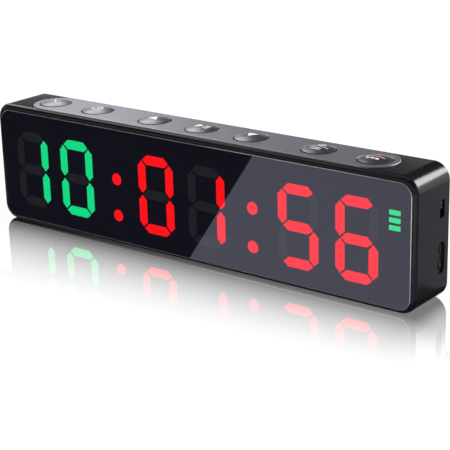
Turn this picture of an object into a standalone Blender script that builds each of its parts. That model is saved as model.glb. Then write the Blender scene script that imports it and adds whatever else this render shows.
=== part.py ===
"""A small free-standing round timer for a gym: a flat case with six LED digits and seven top buttons.

Frame: X runs along the case, -Y is the display side, +Z is up. The origin is on the table under
the middle of the case. All sizes are in metres. Each object is one separate piece of the timer.
"""

from math import cos, pi, radians, sin

import bmesh
import bpy
from mathutils import Vector

# ---------------------------------------------------------------- driving dimensions

GAP = 0.0003                # clearance left between two neighbouring pieces
CUT = 0.0005                # how far a cutter runs past the face that it opens

WIDTH = 0.160
DEPTH = 0.018
HEIGHT = 0.040              # table to the top face of the button strip
CORNER_RADIUS = 0.005       # the four long edges of the case
EDGE_RADIUS = 0.0009        # the rim round the display side
WALL = 0.002

STRIP_STEP = 0.0003         # the strip stands this much above the case
STRIP_THICKNESS = 0.0009
STRIP_LENGTH = 0.137
STRIP_WIDTH = 0.0158
STRIP_CHAMFER = 0.00025

BUTTON_RADIUS = 0.005
BUTTON_FLANGE = 0.0009      # how far the flange under the wall stands out
BUTTON_RISE = 0.001         # dome above the strip
BUTTON_TRAVEL = 0.0003
PAD_RADIUS = 0.0015         # the button's foot that presses the switch
SWITCH_STEM_RADIUS = 0.0010
SWITCH_STEM_LENGTH = 0.0012
SWITCH_BODY_WIDTH = 0.0045
BUTTON_X = {
    "clear": -0.0615, "interval": -0.0427, "up": -0.0187, "start": 0.0,
    "down": 0.0187, "set": 0.0427, "mode": 0.0615,
}

LENS_WIDTH = 0.1572
LENS_BOTTOM = 0.0010
LENS_TOP = 0.0379
LENS_THICKNESS = 0.0010
LENS_RADIUS = 0.0040
LEDGE = 0.0017              # width of the ledge that the lens is glued to
LEDGE_THICKNESS = 0.0008

DIGIT_FIRST_X = -0.0661     # centre of the first digit
DIGIT_PITCH = 0.0198        # inside a pair
PAIR_PITCH = 0.0533         # from pair to pair
DIGIT_Z = 0.0183
COLUMN_SPACING = 0.0110     # between the centre lines of a digit's upright segments
ROW_SPACING = 0.0111        # between the centre lines of its level segments
SEGMENT_WIDTH = 0.0031
SEGMENT_TIP_GAP = 0.0004    # from a corner of the digit to a segment's tip
COLON_OFFSET = 0.01615      # left of the pair that follows
COLON_Z = (0.0212, 0.0091)
COLON_RADIUS = 0.0019
BAR_X = 0.0725
BAR_Z = (0.0285, 0.0263, 0.0241)
BAR_SIZE = (0.0035, 0.00135)

MASK_THICKNESS = 0.0020
MASK_RADIUS = 0.0015
DIFFUSER_THICKNESS = 0.0008
DIFFUSER_MARGIN = 0.0005    # how far a diffuser's plate runs past its segments
LED_HEIGHT = 0.0007
LED_SIZE = (0.0016, 0.0012)
BOARD_THICKNESS = 0.0010
CIRCUIT_HEIGHT = 0.0012
DISPLAY_CIRCUITS = (        # x, z, width and height of each package
    (-0.008, 0.020, 0.009, 0.009), (0.016, 0.012, 0.005, 0.008), (-0.058, 0.012, 0.008, 0.005),
)
POWER_CIRCUITS = ((0.053, 0.022, 0.005, 0.004), (0.060, 0.011, 0.003, 0.003))

COVER_THICKNESS = 0.0018
POST_SIZE = 0.0062          # corner posts that take the cover's screws
MAGNET_X = 0.058
MAGNET_Z = 0.020
MAGNET_RADIUS = 0.008
MAGNET_THICKNESS = 0.0019
MAGNET_SINK = 0.0001        # below the cover's face
POCKET_WALL = 0.0011
BUZZER_X = -0.034
BUZZER_Z = 0.017
BUZZER_RADIUS = 0.006
BUZZER_HEIGHT = 0.005
BUZZER_MOUTH = 0.0013
SOUND_HOLE_RADIUS = 0.0008
SOUND_HOLE_SPACING = 0.0027

BATTERY_SIZE = (0.050, 0.005, 0.0255)
BATTERY_X = 0.007
BATTERY_Z = 0.0175
BATTERY_EDGE = 0.0012
PAD_SIZE = (0.036, 0.0005, 0.012)
PLUG_X = (0.0430, 0.0475)
PLUG_Z = (0.0225, 0.0290)
PLUG_HEIGHT = 0.0031
LEAD_RADIUS = 0.0006
LEAD_SAG = 0.0009
LEAD_STEPS = 10

RIBBON_X = (-0.0520, -0.0440)
RIBBON_BACK = 0.0030        # its end under the button board
RIBBON_BOTTOM = 0.0235      # its end on the display board
RIBBON_BEND = 0.0015
RIBBON_THICKNESS = 0.0003

PORT_Y = 0.005              # both openings in the right end lie on this line
USB_Z = 0.0133
USB_LENGTH = 0.0088
USB_WIDTH = 0.0031
USB_DEPTH = 0.0073
USB_WALL = 0.0003
USB_TONGUE = (0.0007, 0.0067)
USB_ROUNDNESS = 0.97        # corner radius over half the width
USB_STEPS = 4
SWITCH_Z = 0.02765
SWITCH_SLOT = (0.0026, 0.0052)
SWITCH_TRAVEL = 0.0020
SWITCH_BODY = (0.0034, 0.0031, 0.0060)
SWITCH_KNOB = (0.0015, 0.0022)

SCREW_RADIUS = 0.0009
SCREW_HEAD_RADIUS = 0.0018
SCREW_HEAD_HEIGHT = 0.0007
HEAD_SINK = 0.0001          # the cover screws' heads below the cover's face
RECESS_DEPTH = 0.0004
RECESS_BLADE = (0.0010, 0.00022)
COVER_SCREW_LENGTH = 0.0068
POWER_SCREW_LENGTH = 0.0045
BUTTON_SCREW_LENGTH = 0.0042
BORE_FLOOR = 0.0008
BOSS_RADIUS = 0.0022
SCREW_HOLE_RADIUS = SCREW_RADIUS + GAP

ROUND_STEPS = 20            # facets round a button or a large hole
SMALL_STEPS = 10            # facets round a screw or a small hole
CORNER_STEPS = 6            # facets round a quarter of a corner

# ---------------------------------------------------------------- derived planes

FRONT = -DEPTH / 2
BACK = DEPTH / 2
CASE_TOP = HEIGHT - STRIP_STEP
RECESS_FLOOR = HEIGHT - STRIP_THICKNESS - GAP
INNER_TOP = RECESS_FLOOR - 0.0012
INNER_X = WIDTH / 2 - WALL
LENS_BACK = FRONT + LENS_THICKNESS
MASK_FRONT = LENS_BACK + GAP
MASK_BACK = MASK_FRONT + MASK_THICKNESS
DIFFUSER_FRONT = MASK_BACK + GAP
DIFFUSER_BACK = DIFFUSER_FRONT + DIFFUSER_THICKNESS
LED_FRONT = DIFFUSER_BACK + GAP
BOARD_FRONT = LED_FRONT + LED_HEIGHT
BOARD_BACK = BOARD_FRONT + BOARD_THICKNESS
COVER_INNER = BACK - COVER_THICKNESS
MASK_X = WIDTH / 2 - 0.0038
MASK_Z = (0.0034, 0.0359)
FLANGE_TOP = INNER_TOP - GAP
FLANGE_BOTTOM = FLANGE_TOP - 0.0006
PAD_BOTTOM = FLANGE_BOTTOM - GAP
BUTTON_BOARD_TOP = 0.0340
BUTTON_BOARD_BOTTOM = BUTTON_BOARD_TOP - BOARD_THICKNESS
BUTTON_BOARD_X = (-0.0700, 0.0700)
BUTTON_BOARD_Y = (-0.0030, 0.0062)
BUTTON_BOARD_SCREW_X = (BUTTON_X["down"] + BUTTON_X["set"]) / 2
BUTTON_BOARD_SCREW_Y = 0.0030
POWER_BOARD_FRONT = 0.0021
POWER_BOARD_BACK = POWER_BOARD_FRONT + BOARD_THICKNESS
POWER_BOARD_LEFT = 0.0420
POWER_BOARD_Z = (0.0091, 0.0309)
POWER_SCREW = (0.0735, 0.0210)
SHELF_FRONT = -0.0020
SHELF_REACH = 0.0030
HEADER_X = (0.0450, 0.0602)
HEADER_Z = (0.0150, 0.0175)
SWITCH_FACE = INNER_X - 2 * GAP
SHELL_FRONT = WIDTH / 2 - 0.0008
LEAD_Y = POWER_BOARD_BACK + 0.0018
DIGIT_X = [
    DIGIT_FIRST_X + pair * PAIR_PITCH + place * DIGIT_PITCH for pair in range(3) for place in range(2)
]
COLON_X = [DIGIT_X[2] - COLON_OFFSET, DIGIT_X[4] - COLON_OFFSET]

# ---------------------------------------------------------------- helpers


def clear_scene():
    for old in list(bpy.data.objects):
        bpy.data.objects.remove(old, do_unlink=True)


def make_material(name, color, roughness, metallic=0.0):
    material = bpy.data.materials.new(name)
    material.use_nodes = True
    shader = material.node_tree.nodes["Principled BSDF"]
    shader.inputs["Base Color"].default_value = (*color, 1.0)
    shader.inputs["Roughness"].default_value = roughness
    shader.inputs["Metallic"].default_value = metallic
    material.diffuse_color = (*color, 1.0)
    return material


def arc(center, radius, start, end, steps):
    """Points on a circular arc, both ends included, angles in degrees."""
    angles = [radians(start + (end - start) * step / steps) for step in range(steps + 1)]
    return [(center[0] + radius * cos(angle), center[1] + radius * sin(angle)) for angle in angles]


def circle(center, radius, steps):
    return arc(center, radius, 0, 360 - 360 / steps, steps - 1)


def box_outline(low, high):
    return [(low[0], low[1]), (high[0], low[1]), (high[0], high[1]), (low[0], high[1])]


def rounded_box(low, high, radius, steps=CORNER_STEPS):
    """A rectangle from corner low to corner high with four round corners."""
    corners = [
        (high[0] - radius, low[1] + radius, -90), (high[0] - radius, high[1] - radius, 0),
        (low[0] + radius, high[1] - radius, 90), (low[0] + radius, low[1] + radius, 180),
    ]
    points = []
    for x, z, start in corners:
        points += arc((x, z), radius, start, start + 90, steps)
    return points


def stadium(length, width, steps=2 * CORNER_STEPS):
    """A slot shape along X: two half circles joined by straight sides."""
    radius = width / 2
    straight = length / 2 - radius
    return arc((straight, 0), radius, -90, 90, steps) + arc((-straight, 0), radius, 90, 270, steps)


def place(point, height, axis):
    """Turn a flat outline point into space, with height measured along the given axis."""
    first, second = point
    return {"X": (height, first, second), "Y": (first, height, second), "Z": (first, second, height)}[axis]


def loft(mesh, sections):
    """Skin closed rings that all have the same number of points, and cap both ends."""
    rings = [[mesh.verts.new(point) for point in section] for section in sections]
    count = len(rings[0])
    for near, far in zip(rings, rings[1:]):
        for index in range(count):
            after = (index + 1) % count
            mesh.faces.new((near[index], near[after], far[after], far[index]))
    mesh.faces.new(rings[0])
    mesh.faces.new(rings[-1])


def add_prism(mesh, outline, low, high, axis):
    loft(mesh, [[place(point, height, axis) for point in outline] for height in (low, high)])


def add_box(mesh, x, y, z):
    add_prism(mesh, box_outline((x[0], y[0]), (x[1], y[1])), z[0], z[1], "Z")


def add_turned(mesh, profile, center, axis, steps):
    """A turned solid: the profile lists (radius, height) pairs from one end to the other."""
    loft(mesh, [
        [place(point, height, axis) for point in circle(center, radius, steps)]
        for radius, height in profile
    ])


def finish(name, mesh, material, origin=(0, 0, 0)):
    """Turn a bmesh in world places into an object whose origin is at the given point."""
    bmesh.ops.recalc_face_normals(mesh, faces=mesh.faces)
    bmesh.ops.translate(mesh, verts=mesh.verts, vec=-Vector(origin))
    data = bpy.data.meshes.new(name)
    mesh.to_mesh(data)
    mesh.free()
    data.shade_smooth()
    data.set_sharp_from_angle(angle=radians(35))
    piece = bpy.data.objects.new(name, data)
    piece.location = origin
    bpy.context.scene.collection.objects.link(piece)
    if material:
        piece.data.materials.append(material)
    return piece


def modify(target, mesh, operation="DIFFERENCE"):
    """Cut or join the shapes in mesh, kept as a hidden guide object."""
    guide = finish(f"{target.name}_{operation.lower()}_{len(target.modifiers)}", mesh, None)
    guide.hide_render = True
    guide.display_type = "WIRE"
    modifier = target.modifiers.new(operation.title(), "BOOLEAN")
    modifier.operation = operation
    modifier.solver = "EXACT"
    modifier.object = guide


# ---------------------------------------------------------------- materials

CASE_BLACK = make_material("case_black", (0.012, 0.012, 0.014), 0.25)
COVER_BLACK = make_material("cover_black", (0.016, 0.016, 0.018), 0.5)
SMOKED_ACRYLIC = make_material("smoked_acrylic", (0.01, 0.01, 0.015), 0.05)
MASK_BLACK = make_material("mask_black", (0.01, 0.01, 0.012), 0.7)
MILKY_PLASTIC = make_material("milky_plastic", (0.6, 0.6, 0.58), 0.5)
STRIP_GREY = make_material("strip_grey", (0.14, 0.14, 0.155), 0.35)
BUTTON_GLOSS = make_material("button_gloss", (0.09, 0.09, 0.10), 0.12)
SWITCH_BLACK = make_material("switch_black", (0.02, 0.02, 0.02), 0.5)
BOARD_GREEN = make_material("board_green", (0.02, 0.16, 0.07), 0.45)
NICKEL = make_material("nickel", (0.62, 0.61, 0.58), 0.25, 1.0)
STEEL = make_material("zinc_steel", (0.5, 0.5, 0.52), 0.3, 1.0)
FOIL = make_material("battery_foil", (0.55, 0.56, 0.58), 0.35, 1.0)
FOAM = make_material("foam", (0.05, 0.05, 0.05), 0.9)
RED_SLEEVE = make_material("red_sleeve", (0.6, 0.02, 0.02), 0.4)
BLACK_SLEEVE = make_material("black_sleeve", (0.02, 0.02, 0.02), 0.4)
WHITE_NYLON = make_material("white_nylon", (0.75, 0.74, 0.68), 0.5)

LEADS = (                   # name, height at the battery, height at the plug, sleeve
    ("battery_lead_red", 0.0262, 0.0272, RED_SLEEVE),
    ("battery_lead_black", 0.0232, 0.0246, BLACK_SLEEVE),
)

# ---------------------------------------------------------------- display layout


def segment(center, along):
    """A pointed six-sided segment, level when along is "X" and upright when it is "Z"."""
    reach = (COLUMN_SPACING if along == "X" else ROW_SPACING) / 2 - SEGMENT_TIP_GAP
    half = SEGMENT_WIDTH / 2
    shoulder = reach - half
    outline = [
        (-reach, 0), (-shoulder, -half), (shoulder, -half),
        (reach, 0), (shoulder, half), (-shoulder, half),
    ]
    if along == "Z":
        outline = [(-second, first) for first, second in outline]
    return [(center[0] + first, center[1] + second) for first, second in outline]


def digit_segments(x):
    """The seven segment outlines of the digit centred on x."""
    levels = [segment((x, DIGIT_Z + row * ROW_SPACING), "X") for row in (-1, 0, 1)]
    uprights = [
        segment((x + side * COLUMN_SPACING / 2, DIGIT_Z + row * ROW_SPACING / 2), "Z")
        for side in (-1, 1) for row in (-1, 1)
    ]
    return levels + uprights


def grow(outline, distance):
    """Move a convex outline outwards by the same distance on every side."""
    grown = []
    count = len(outline)
    middle = Vector((sum(p[0] for p in outline) / count, sum(p[1] for p in outline) / count))
    for index in range(count):
        before, here, after = (Vector(outline[(index + step) % count]) for step in (-1, 0, 1))
        first = Vector((here.y - before.y, before.x - here.x)).normalized()
        second = Vector((after.y - here.y, here.x - after.x)).normalized()
        outward = (first + second).normalized()
        if outward.dot(here - middle) < 0:
            outward = -outward
        reach = distance / abs(outward.dot(first))
        grown.append(tuple(here + outward * reach))
    return grown


def colon_dots(x):
    return [circle((x, z), COLON_RADIUS, SMALL_STEPS) for z in COLON_Z]


def battery_bars():
    half_x, half_z = BAR_SIZE[0] / 2, BAR_SIZE[1] / 2
    return [box_outline((BAR_X - half_x, z - half_z), (BAR_X + half_x, z + half_z)) for z in BAR_Z]


LIGHTS = [digit_segments(x) for x in DIGIT_X] + [colon_dots(x) for x in COLON_X] + [battery_bars()]

# ---------------------------------------------------------------- case


def case_section(y, inset):
    outline = rounded_box(
        (-WIDTH / 2 + inset, inset), (WIDTH / 2 - inset, CASE_TOP - inset), CORNER_RADIUS - inset)
    return [place(point, y, "Y") for point in outline]


def lens_outline(inset):
    return rounded_box(
        (-LENS_WIDTH / 2 + inset, LENS_BOTTOM + inset), (LENS_WIDTH / 2 - inset, LENS_TOP - inset),
        LENS_RADIUS - inset)


def cover_outline(inset):
    low = (-INNER_X + inset, WALL + inset)
    high = (INNER_X - inset, INNER_TOP - inset)
    return rounded_box(low, high, CORNER_RADIUS - WALL - inset)


def cover_screw_places():
    middle = POST_SIZE / 2
    return [(side * (INNER_X - middle), z) for side in (-1, 1) for z in (WALL + middle, INNER_TOP - middle)]


def button_board_screw_places():
    return [(side * BUTTON_BOARD_SCREW_X, BUTTON_BOARD_SCREW_Y) for side in (-1, 1)]


def build_case():
    mesh = bmesh.new()
    rim = [(FRONT + EDGE_RADIUS * (1 - sin(angle)), EDGE_RADIUS * (1 - cos(angle)))
           for angle in (pi / 2, pi / 3, pi / 6, 0)]
    loft(mesh, [case_section(y, inset) for y, inset in rim] + [case_section(BACK, 0)])
    case = finish("front_housing", mesh, CASE_BLACK)

    cavity = bmesh.new()
    add_prism(cavity, cover_outline(0), MASK_FRONT + LEDGE_THICKNESS, BACK + CUT, "Y")
    modify(case, cavity)

    posts = bmesh.new()
    post_y = (BOARD_BACK + 2 * GAP, COVER_INNER - GAP)
    half = POST_SIZE / 2 + CUT
    for x, z in cover_screw_places():
        add_box(posts, (x - half, x + half), post_y, (z - half, z + half))
    for point in button_board_screw_places():
        boss = circle(point, BOSS_RADIUS, SMALL_STEPS)
        add_prism(posts, boss, BUTTON_BOARD_TOP + GAP, INNER_TOP + CUT, "Z")
    shelf_x, shelf_z = POWER_SCREW
    shelf_y = (SHELF_FRONT, POWER_BOARD_FRONT - GAP)
    add_box(posts, (shelf_x - SHELF_REACH, INNER_X + CUT), shelf_y,
            (shelf_z - BOSS_RADIUS, shelf_z + BOSS_RADIUS))
    modify(case, posts, "UNION")

    window = bmesh.new()
    add_prism(window, lens_outline(LEDGE), FRONT - CUT, MASK_FRONT + LEDGE_THICKNESS + CUT, "Y")
    modify(case, window)

    seat = bmesh.new()
    add_prism(seat, lens_outline(-GAP), FRONT - CUT, MASK_FRONT, "Y")
    modify(case, seat)

    recess = bmesh.new()
    add_prism(recess, stadium(STRIP_LENGTH + 2 * GAP, STRIP_WIDTH + 2 * GAP), RECESS_FLOOR, HEIGHT, "Z")
    modify(case, recess)

    holes = bmesh.new()
    for x in BUTTON_X.values():
        add_prism(holes, circle((x, 0), BUTTON_RADIUS + GAP, ROUND_STEPS), INNER_TOP - CUT, HEIGHT, "Z")
    for point in button_board_screw_places():
        bore = circle(point, SCREW_HOLE_RADIUS, SMALL_STEPS)
        add_prism(holes, bore, BUTTON_BOARD_TOP, INNER_TOP - BORE_FLOOR, "Z")
    for point in cover_screw_places():
        bore = circle(point, SCREW_HOLE_RADIUS, SMALL_STEPS)
        add_prism(holes, bore, BACK - COVER_SCREW_LENGTH - BORE_FLOOR, COVER_INNER, "Y")
    bore = circle(POWER_SCREW, SCREW_HOLE_RADIUS, SMALL_STEPS)
    add_prism(holes, bore, SHELF_FRONT + BORE_FLOOR, POWER_BOARD_FRONT, "Y")
    half_y, half_z = SWITCH_SLOT[0] / 2, SWITCH_SLOT[1] / 2
    slot = box_outline((PORT_Y - half_y, SWITCH_Z - half_z), (PORT_Y + half_y, SWITCH_Z + half_z))
    add_prism(holes, slot, INNER_X - CUT, WIDTH / 2 + CUT, "X")
    add_prism(holes, usb_outline(GAP), INNER_X - CUT, WIDTH / 2 + CUT, "X")
    modify(case, holes)


def usb_outline(margin):
    half_y, half_z = USB_WIDTH / 2 + margin, USB_LENGTH / 2 + margin
    low, high = (PORT_Y - half_y, USB_Z - half_z), (PORT_Y + half_y, USB_Z + half_z)
    return rounded_box(low, high, USB_ROUNDNESS * half_y, USB_STEPS)


def build_lens():
    mesh = bmesh.new()
    chamfer = 0.00025
    loft(mesh, [
        [place(point, y, "Y") for point in lens_outline(inset)]
        for y, inset in ((FRONT, chamfer), (FRONT + chamfer, 0), (LENS_BACK, 0))
    ])
    finish("lens_panel", mesh, SMOKED_ACRYLIC)


# ---------------------------------------------------------------- display stack


def build_mask():
    mesh = bmesh.new()
    outline = rounded_box((-MASK_X, MASK_Z[0]), (MASK_X, MASK_Z[1]), MASK_RADIUS, 2)
    add_prism(mesh, outline, MASK_FRONT, MASK_BACK, "Y")
    mask = finish("segment_mask", mesh, MASK_BLACK)
    openings = bmesh.new()
    for group in LIGHTS:
        for outline in group:
            add_prism(openings, grow(outline, GAP / 2), MASK_FRONT - CUT, MASK_BACK + CUT, "Y")
    modify(mask, openings)


def build_diffuser(name, outlines):
    """A thin backing plate with one raised light window for each outline."""
    points = [point for outline in outlines for point in outline]
    low = [min(point[axis] for point in points) - DIFFUSER_MARGIN for axis in (0, 1)]
    high = [max(point[axis] for point in points) + DIFFUSER_MARGIN for axis in (0, 1)]
    mesh = bmesh.new()
    add_prism(mesh, box_outline(low, high), DIFFUSER_FRONT, DIFFUSER_BACK, "Y")
    plate = finish(name, mesh, MILKY_PLASTIC)
    windows = bmesh.new()
    root = DIFFUSER_FRONT + DIFFUSER_THICKNESS / 2
    for outline in outlines:
        add_prism(windows, grow(outline, -GAP / 2), MASK_FRONT, root, "Y")
    modify(plate, windows, "UNION")


def build_diffusers():
    names = [f"digit_diffuser_{number}" for number in range(1, 7)]
    names += ["colon_diffuser_1", "colon_diffuser_2", "battery_bar_diffuser"]
    for name, outlines in zip(names, LIGHTS):
        build_diffuser(name, outlines)


def build_display_board():
    mesh = bmesh.new()
    add_box(mesh, (-MASK_X, MASK_X), (BOARD_FRONT, BOARD_BACK), (MASK_Z[0], BUTTON_BOARD_BOTTOM - GAP))
    board = finish("display_board", mesh, BOARD_GREEN)
    chips = bmesh.new()
    half_x, half_z = LED_SIZE[0] / 2, LED_SIZE[1] / 2
    for group in LIGHTS:
        for outline in group:
            x = sum(point[0] for point in outline) / len(outline)
            z = sum(point[1] for point in outline) / len(outline)
            chip_y = (LED_FRONT, BOARD_FRONT + CUT)
            add_box(chips, (x - half_x, x + half_x), chip_y, (z - half_z, z + half_z))
    modify(board, chips, "UNION")
    add_circuits(board, DISPLAY_CIRCUITS, BOARD_BACK)


def add_circuits(board, circuits, face):
    """Join the chip packages to the board's rear face: each is (x, z, width, height)."""
    packages = bmesh.new()
    for x, z, width, height in circuits:
        add_box(packages, (x, x + width), (face - CUT, face + CIRCUIT_HEIGHT), (z, z + height))
    modify(board, packages, "UNION")


# ---------------------------------------------------------------- buttons


def build_strip():
    mesh = bmesh.new()
    bottom = HEIGHT - STRIP_THICKNESS
    levels = ((bottom, 0), (HEIGHT - STRIP_CHAMFER, 0), (HEIGHT, STRIP_CHAMFER))
    loft(mesh, [
        [place(point, z, "Z") for point in stadium(STRIP_LENGTH - 2 * inset, STRIP_WIDTH - 2 * inset)]
        for z, inset in levels
    ])
    strip = finish("button_strip", mesh, STRIP_GREY)
    holes = bmesh.new()
    for x in BUTTON_X.values():
        add_prism(holes, circle((x, 0), BUTTON_RADIUS + GAP, ROUND_STEPS), bottom - CUT, HEIGHT + CUT, "Z")
    modify(strip, holes)


def button_profile():
    """Contact pad, flange, barrel and shallow dome, from the bottom up."""
    shoulder = HEIGHT + BUTTON_RISE / 3
    dome = [(BUTTON_RADIUS * cos(angle), shoulder + (HEIGHT + BUTTON_RISE - shoulder) * sin(angle))
            for angle in (0, pi / 4, 0.46 * pi)]
    flange = BUTTON_RADIUS + BUTTON_FLANGE
    return [(PAD_RADIUS, PAD_BOTTOM), (PAD_RADIUS, FLANGE_BOTTOM), (flange, FLANGE_BOTTOM),
            (flange, FLANGE_TOP), (BUTTON_RADIUS, FLANGE_TOP)] + dome


def build_buttons():
    stem_top = PAD_BOTTOM - GAP
    stem_bottom = stem_top - SWITCH_STEM_LENGTH
    clear = BUTTON_TRAVEL + 0.0001
    half = SWITCH_BODY_WIDTH / 2
    for name, x in BUTTON_X.items():
        cap = bmesh.new()
        add_turned(cap, button_profile(), (x, 0), "Z", ROUND_STEPS)
        finish(f"{name}_button", cap, BUTTON_GLOSS, (x, 0, HEIGHT))

        stem = bmesh.new()
        profile = [(SWITCH_STEM_RADIUS, stem_bottom), (SWITCH_STEM_RADIUS, stem_top)]
        add_turned(stem, profile, (x, 0), "Z", SMALL_STEPS)
        finish(f"{name}_switch_stem", stem, WHITE_NYLON, (x, 0, stem_top))

        body = bmesh.new()
        add_box(body, (x - half, x + half), (-half, half), (BUTTON_BOARD_TOP + GAP, stem_top - clear))
        switch = finish(f"{name}_switch_body", body, SWITCH_BLACK)
        well = bmesh.new()
        bore = SWITCH_STEM_RADIUS + GAP
        add_turned(well, [(bore, stem_bottom - clear), (bore, stem_top)], (x, 0), "Z", SMALL_STEPS)
        modify(switch, well)


def build_button_board():
    mesh = bmesh.new()
    add_box(mesh, BUTTON_BOARD_X, BUTTON_BOARD_Y, (BUTTON_BOARD_BOTTOM, BUTTON_BOARD_TOP))
    board = finish("button_board", mesh, BOARD_GREEN)
    holes = bmesh.new()
    for point in button_board_screw_places():
        bore = circle(point, SCREW_HOLE_RADIUS, SMALL_STEPS)
        add_prism(holes, bore, BUTTON_BOARD_BOTTOM - CUT, BUTTON_BOARD_TOP + CUT, "Z")
    modify(board, holes)


def build_ribbon():
    """The flat flexible cable from the underside of the button board to the display board."""
    top = BUTTON_BOARD_BOTTOM - GAP
    front = BOARD_BACK + GAP
    center = (front + RIBBON_BEND, top - RIBBON_BEND)

    def side(depth):
        bend = arc(center, RIBBON_BEND - depth, 90, 180, 4)
        return [(RIBBON_BACK, top - depth)] + bend + [(front + depth, RIBBON_BOTTOM)]

    mesh = bmesh.new()
    add_prism(mesh, side(0) + side(RIBBON_THICKNESS)[::-1], RIBBON_X[0], RIBBON_X[1], "X")
    finish("button_ribbon", mesh, WHITE_NYLON)


# ---------------------------------------------------------------- power side


def build_power_board():
    mesh = bmesh.new()
    add_box(mesh, (POWER_BOARD_LEFT, SWITCH_FACE), (POWER_BOARD_FRONT, POWER_BOARD_BACK), POWER_BOARD_Z)
    board = finish("power_board", mesh, BOARD_GREEN)
    add_circuits(board, POWER_CIRCUITS, POWER_BOARD_BACK)
    hole = bmesh.new()
    bore = circle(POWER_SCREW, SCREW_HOLE_RADIUS, SMALL_STEPS)
    add_prism(hole, bore, POWER_BOARD_FRONT - CUT, POWER_BOARD_BACK + CUT, "Y")
    modify(board, hole)


def build_board_header():
    mesh = bmesh.new()
    add_box(mesh, HEADER_X, (BOARD_BACK + GAP, POWER_BOARD_FRONT - GAP), HEADER_Z)
    finish("board_header", mesh, SWITCH_BLACK)


def build_usb_socket():
    shell_back = SHELL_FRONT - USB_DEPTH
    mesh = bmesh.new()
    add_prism(mesh, usb_outline(0), shell_back, SHELL_FRONT, "X")
    shell = finish("usb_socket_shell", mesh, NICKEL)
    mouth = bmesh.new()
    add_prism(mouth, usb_outline(-USB_WALL), shell_back + USB_WALL, SHELL_FRONT + CUT, "X")
    modify(shell, mouth)
    tongue = bmesh.new()
    half_y, half_z = USB_TONGUE[0] / 2, USB_TONGUE[1] / 2
    add_box(tongue, (shell_back + USB_WALL + GAP, SHELL_FRONT - 2 * USB_TONGUE[0]),
            (PORT_Y - half_y, PORT_Y + half_y), (USB_Z - half_z, USB_Z + half_z))
    finish("usb_socket_tongue", tongue, SWITCH_BLACK)


def build_power_switch():
    depth, half_y, half_z = SWITCH_BODY[0], SWITCH_BODY[1] / 2, SWITCH_BODY[2] / 2
    mesh = bmesh.new()
    add_box(mesh, (SWITCH_FACE - depth, SWITCH_FACE), (PORT_Y - half_y, PORT_Y + half_y),
            (SWITCH_Z - half_z, SWITCH_Z + half_z))
    body = finish("power_switch_body", mesh, STEEL)
    groove = bmesh.new()
    groove_floor = SWITCH_FACE - depth / 3
    knob_y, knob_z = SWITCH_KNOB[0] / 2, SWITCH_KNOB[1] / 2
    reach = SWITCH_TRAVEL / 2 + knob_z + 2 * GAP
    add_box(groove, (groove_floor, SWITCH_FACE + CUT), (PORT_Y - knob_y - GAP, PORT_Y + knob_y + GAP),
            (SWITCH_Z - reach, SWITCH_Z + reach))
    modify(body, groove)
    center = SWITCH_Z + SWITCH_TRAVEL / 2
    tip = WIDTH / 2 - 0.0004
    knob = bmesh.new()
    loft(knob, [
        [place(point, x, "X") for point in box_outline(
            (PORT_Y - knob_y + inset, center - knob_z + inset),
            (PORT_Y + knob_y - inset, center + knob_z - inset))]
        for x, inset in ((groove_floor + GAP, 0), (tip - GAP, 0), (tip, GAP))
    ])
    finish("power_switch_knob", knob, SWITCH_BLACK, (SWITCH_FACE, PORT_Y, center))


def build_battery():
    pad_back = COVER_INNER - GAP
    pad_front = pad_back - PAD_SIZE[1]
    battery_back = pad_front - GAP
    half_x, half_z = BATTERY_SIZE[0] / 2, BATTERY_SIZE[2] / 2
    mesh = bmesh.new()
    low, high = (BATTERY_X - half_x, BATTERY_Z - half_z), (BATTERY_X + half_x, BATTERY_Z + half_z)
    front = battery_back - BATTERY_SIZE[1]
    edge = BATTERY_EDGE
    loft(mesh, [
        [place(point, y, "Y") for point in rounded_box(
            (low[0] + inset, low[1] + inset), (high[0] - inset, high[1] - inset), 1.5 * edge - inset, 3)]
        for y, inset in ((front, edge), (front + edge, 0), (battery_back - edge, 0), (battery_back, edge))
    ])
    finish("battery_cell", mesh, FOIL)
    pad = bmesh.new()
    half_x, half_z = PAD_SIZE[0] / 2, PAD_SIZE[2] / 2
    add_box(pad, (BATTERY_X - half_x, BATTERY_X + half_x), (pad_front, pad_back),
            (BATTERY_Z - half_z, BATTERY_Z + half_z))
    finish("battery_pad", pad, FOAM)


def build_battery_leads():
    """The plug block on the power board and the two short insulated wires that run to it."""
    block = bmesh.new()
    plug_y = (POWER_BOARD_BACK + GAP, POWER_BOARD_BACK + PLUG_HEIGHT)
    add_box(block, PLUG_X, plug_y, PLUG_Z)
    finish("battery_plug", block, WHITE_NYLON)
    start = BATTERY_X + BATTERY_SIZE[0] / 2 + GAP
    length = PLUG_X[0] - GAP - start
    for name, battery_z, plug_z, material in LEADS:
        curve = bpy.data.curves.new(name, "CURVE")
        curve.dimensions = "3D"
        curve.bevel_depth = LEAD_RADIUS
        curve.bevel_resolution = 2
        curve.use_fill_caps = True
        curve.materials.append(material)
        spline = curve.splines.new("POLY")
        spline.points.add(LEAD_STEPS)
        for index, point in enumerate(spline.points):
            part = index / LEAD_STEPS
            y = LEAD_Y - LEAD_SAG * sin(pi * part)
            z = battery_z + (plug_z - battery_z) * (1 - cos(pi * part)) / 2
            point.co = (start + length * part, y, z, 1)
        lead = bpy.data.objects.new(name, curve)
        bpy.context.scene.collection.objects.link(lead)


# ---------------------------------------------------------------- rear side


def buzzer_holes():
    """One sound hole in the middle and six round it."""
    return [(BUZZER_X, BUZZER_Z)] + circle((BUZZER_X, BUZZER_Z), SOUND_HOLE_SPACING, 6)


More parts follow.
